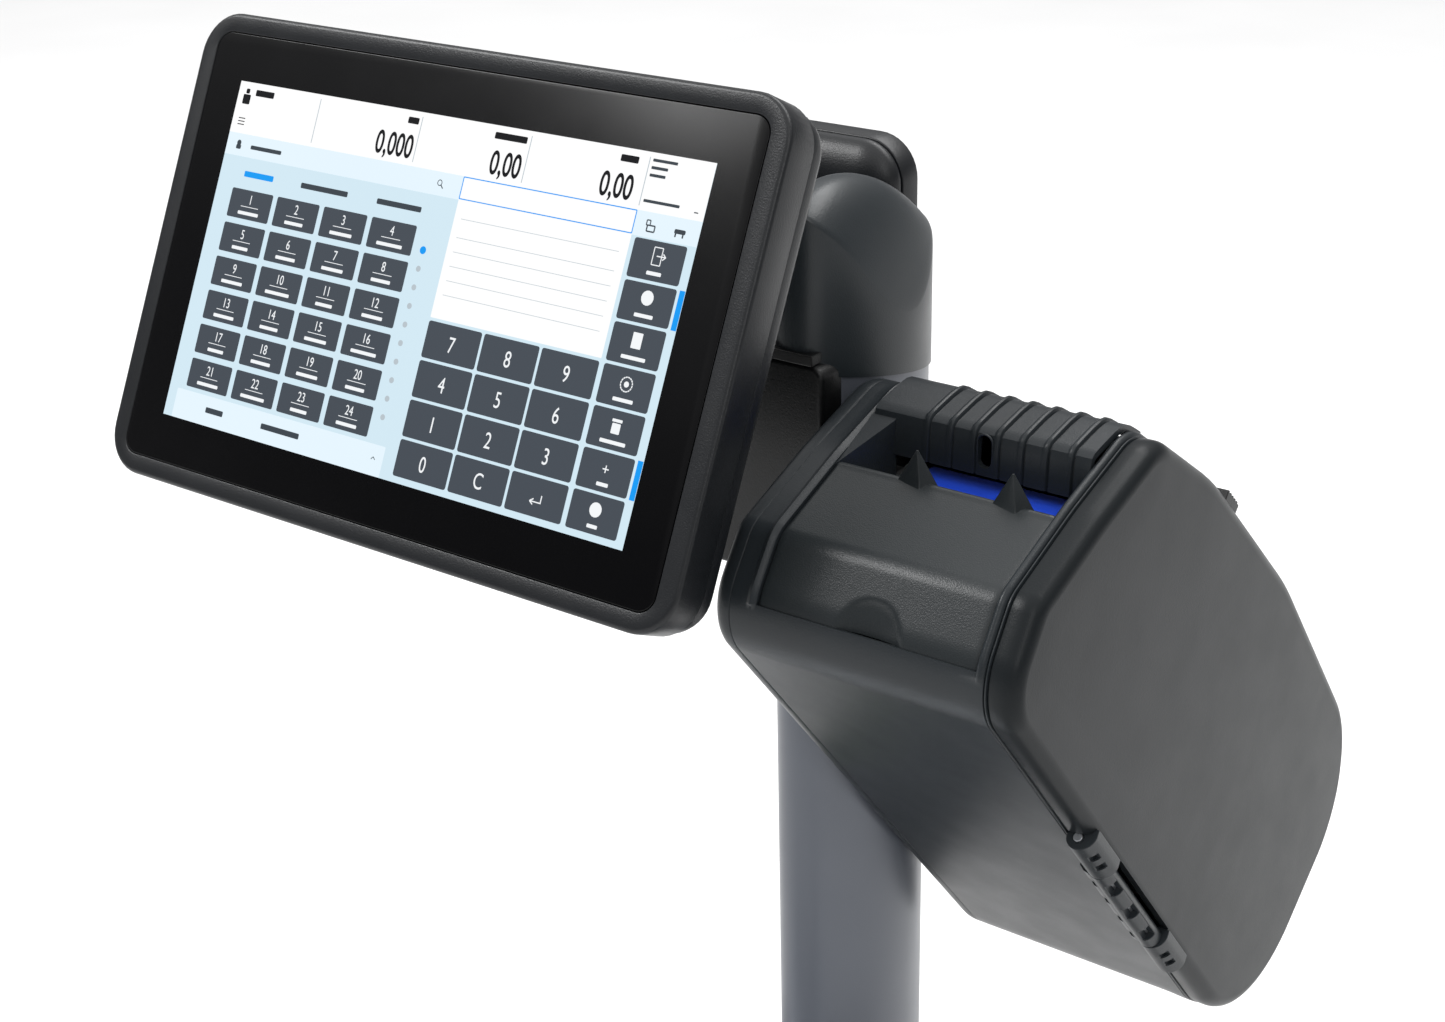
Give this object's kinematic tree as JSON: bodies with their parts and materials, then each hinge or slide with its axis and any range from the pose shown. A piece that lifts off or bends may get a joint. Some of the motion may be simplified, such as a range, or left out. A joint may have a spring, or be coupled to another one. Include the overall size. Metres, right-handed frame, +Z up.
{
  "type": "retail price scale",
  "caption": "Counter price scale: weighing base with load plate, oval column, tilting touch display, customer display and a label printer with side door.",
  "frame": {"origin": "centre of the bounding box on the counter plane under the feet", "axes": "+Z up, -Y towards the operator, +X to the operator's right (printer side)"},
  "size_m": [0.4835, 0.5418, 0.6953],
  "materials": {
    "casing_dark": "fine-textured anthracite moulding",
    "bezel_black": "fine matt black",
    "screen_glass": "smooth, dark behind the border",
    "lcd": "panel behind the glass",
    "column_grey": "satin slate grey coating",
    "bracket_grey": "powder coat",
    "steel": "brushed",
    "aluminium": "machined",
    "rubber": "matt",
    "lever_blue": "satin blue",
    "board_green": "solder mask",
    "gear_white": "acetal",
    "label_paper": "paper roll",
    "vial": "clear with green liquid",
    "zinc": "zinc plated"
  },
  "bodies": {
    "stand": {"base_tray": "casing_dark", "base_cover": "casing_dark", "load_cell": "aluminium", "cell_screws": "zinc", "spider": "aluminium", "rubber_pads": "rubber", "column_flange": "aluminium", "flange_screws": "zinc", "column_collar": "casing_dark", "level_vial": "vial", "power_inlet": "bezel_black", "port_panel": "steel", "main_board": "board_green", "base_screws": "zinc", "column": "column_grey", "head_cover": "casing_dark", "display_arm": "bezel_black", "column_screws": "zinc", "operator_clevis": "bracket_grey", "operator_pin": "steel", "customer_clevis": "bracket_grey", "customer_pin": "steel", "printer_mount": "bracket_grey", "left_cover": "casing_dark", "printer_housing": "casing_dark", "chassis_plate": "steel", "rib_panel": "casing_dark", "feed_motor": "bracket_grey", "head_shaft": "steel", "roll_spindle": "steel", "hinge_pin": "steel"},
    "load_plate": {"load_plate": "steel"},
    "foot_front_left": {"foot_front_left": "rubber"},
    "foot_front_right": {"foot_front_right": "rubber"},
    "foot_back_left": {"foot_back_left": "rubber"},
    "foot_back_right": {"foot_back_right": "rubber"},
    "operator_display": {"operator_glass": "screen_glass", "operator_panel": "lcd", "operator_frame": "bezel_black", "operator_rear": "casing_dark", "operator_board": "board_green", "operator_knuckle": "bracket_grey", "operator_screws": "zinc"},
    "power_button": {"power_button": "bezel_black"},
    "customer_display": {"customer_glass": "screen_glass", "customer_panel": "lcd", "customer_frame": "bezel_black", "customer_rear": "casing_dark", "customer_knuckle": "bracket_grey"},
    "outlet_lid": {"outlet_lid": "casing_dark"},
    "platen": {"platen_roller": "rubber", "platen_gear": "gear_white"},
    "motor_shaft": {"motor_pinion": "gear_white"},
    "print_head": {"print_head": "steel", "head_lever": "lever_blue"},
    "label_roll": {"roll_holder": "gear_white", "label_roll": "label_paper"},
    "rewinder": {"rewind_spindle": "steel"},
    "printer_door": {"printer_door": "casing_dark"},
    "door_latch": {"door_latch": "casing_dark"}
  },
  "joints": [
    {"name": "load_plate_lift", "type": "slide", "parent": "stand", "child": "load_plate", "axis": [0, 0, 1], "range_m": [0, 0.06]},
    {"name": "foot_front_left_screw", "type": "slide", "parent": "stand", "child": "foot_front_left", "axis": [0, 0, -1], "range_m": [0, 0.008]},
    {"name": "foot_front_right_screw", "type": "slide", "parent": "stand", "child": "foot_front_right", "axis": [0, 0, -1], "range_m": [0, 0.008]},
    {"name": "foot_back_left_screw", "type": "slide", "parent": "stand", "child": "foot_back_left", "axis": [0, 0, -1], "range_m": [0, 0.008]},
    {"name": "foot_back_right_screw", "type": "slide", "parent": "stand", "child": "foot_back_right", "axis": [0, 0, -1], "range_m": [0, 0.008]},
    {"name": "operator_tilt", "type": "hinge", "parent": "stand", "child": "operator_display", "pos_m": [-0.07825, -0.01501, 0.54695], "axis": [1, 0, 0], "range_deg": [-18, 7]},
    {"name": "power_button_press", "type": "slide", "parent": "operator_display", "child": "power_button", "axis": [0, 0.4384, 0.8988], "range_m": [0, 0.0012], "stiffness_N_per_m": 800},
    {"name": "customer_tilt", "type": "hinge", "parent": "stand", "child": "customer_display", "pos_m": [-0.07825, 0.10385, 0.54], "axis": [1, 0, 0], "range_deg": [-5, 5]},
    {"name": "outlet_lid_hinge", "type": "hinge", "parent": "stand", "child": "outlet_lid", "pos_m": [0.14375, -0.01815, 0.542], "axis": [-1, 0, 0], "range_deg": [0, 60]},
    {"name": "platen_spin", "type": "hinge", "parent": "stand", "child": "platen", "pos_m": [0.14375, -0.01615, 0.514], "axis": [1, 0, 0], "continuous": true},
    {"name": "motor_spin", "type": "hinge", "parent": "stand", "child": "motor_shaft", "pos_m": [0.10175, 0.01484, 0.49567], "axis": [1, 0, 0], "continuous": true},
    {"name": "print_head_lift", "type": "hinge", "parent": "stand", "child": "print_head", "pos_m": [0.14375, 0.02585, 0.524], "axis": [-1, 0, 0], "range_deg": [0, 12]},
    {"name": "label_roll_spin", "type": "hinge", "parent": "stand", "child": "label_roll", "pos_m": [0.14375, 0.15985, 0.338], "axis": [1, 0, 0], "continuous": true},
    {"name": "rewind_spin", "type": "hinge", "parent": "stand", "child": "rewinder", "pos_m": [0.14375, 0.03985, 0.43], "axis": [1, 0, 0], "continuous": true},
    {"name": "printer_door_hinge", "type": "hinge", "parent": "stand", "child": "printer_door", "pos_m": [0.20475, -0.01095, 0.402], "axis": [0, 0.6361, -0.7716], "range_deg": [0, 110]},
    {"name": "door_latch_press", "type": "slide", "parent": "printer_door", "child": "door_latch", "axis": [0, -0.682, -0.7314], "range_m": [0, 0.0016], "stiffness_N_per_m": 600}
  ],
  "couplings": [
    {"joint": "motor_spin", "follows": "platen_spin", "ratio": -1.5714}
  ]
}
